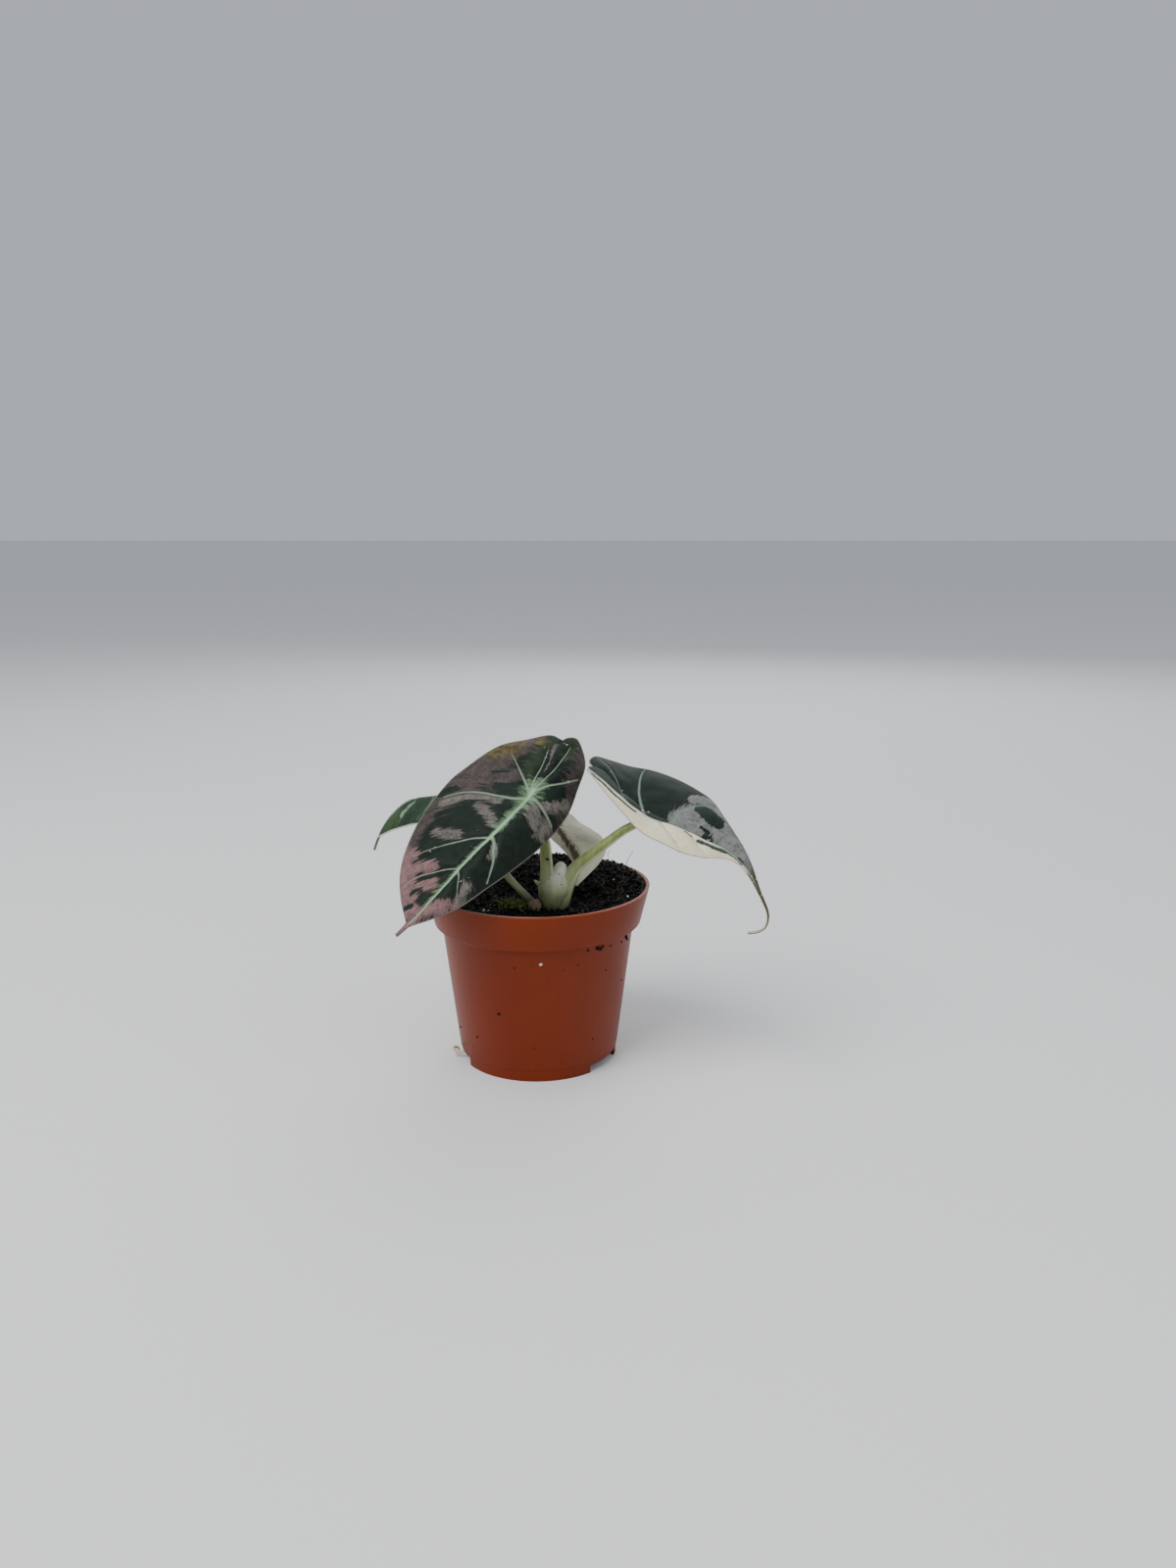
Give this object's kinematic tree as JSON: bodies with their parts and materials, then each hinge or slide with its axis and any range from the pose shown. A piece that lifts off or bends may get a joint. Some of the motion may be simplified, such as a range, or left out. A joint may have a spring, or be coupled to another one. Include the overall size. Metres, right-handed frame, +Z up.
{
  "type": "potted velvet-leaved aroid house plant",
  "caption": "Small variegated velvet-leaved aroid with pointed heart-shaped leaves on arched stalks, growing in soil in a round tapered nursery pot with a flared rim band.",
  "frame": {"origin": "centre of the pot's flat underside", "axes": "+Z up along the pot's axis; the plant faces -Y, with its side-on leaf towards +X"},
  "size_m": [0.1228, 0.0793, 0.101],
  "materials": {
    "pot_plastic": "satin moulded plastic, terracotta orange-brown",
    "soil": "dark loose peat and coir, rough",
    "corm_skin": "dry pinkish brown skin",
    "crown_skin": "smooth, pale green-white, slightly translucent",
    "stalk_skin": "smooth, pale yellow-green",
    "blade_front_skin": "velvety, near-black green with pale veins and pink-grey patches",
    "blade_right_skin": "velvety, one half dark green, the other cream",
    "blade_left_skin": "velvety, mid green with pale veins",
    "blade_back_skin": "velvety, cream with an olive-brown band",
    "root_skin": "smooth off-white root"
  },
  "bodies": {
    "root": {"pot": "pot_plastic", "soil": "soil", "corm": "corm_skin", "crown": "crown_skin", "stalk_front": "stalk_skin", "stalk_right": "stalk_skin", "stalk_left": "stalk_skin", "stalk_back": "stalk_skin", "blade_front": "blade_front_skin", "blade_right": "blade_right_skin", "blade_left": "blade_left_skin", "blade_back": "blade_back_skin", "drain_root": "root_skin"}
  },
  "joints": []
}
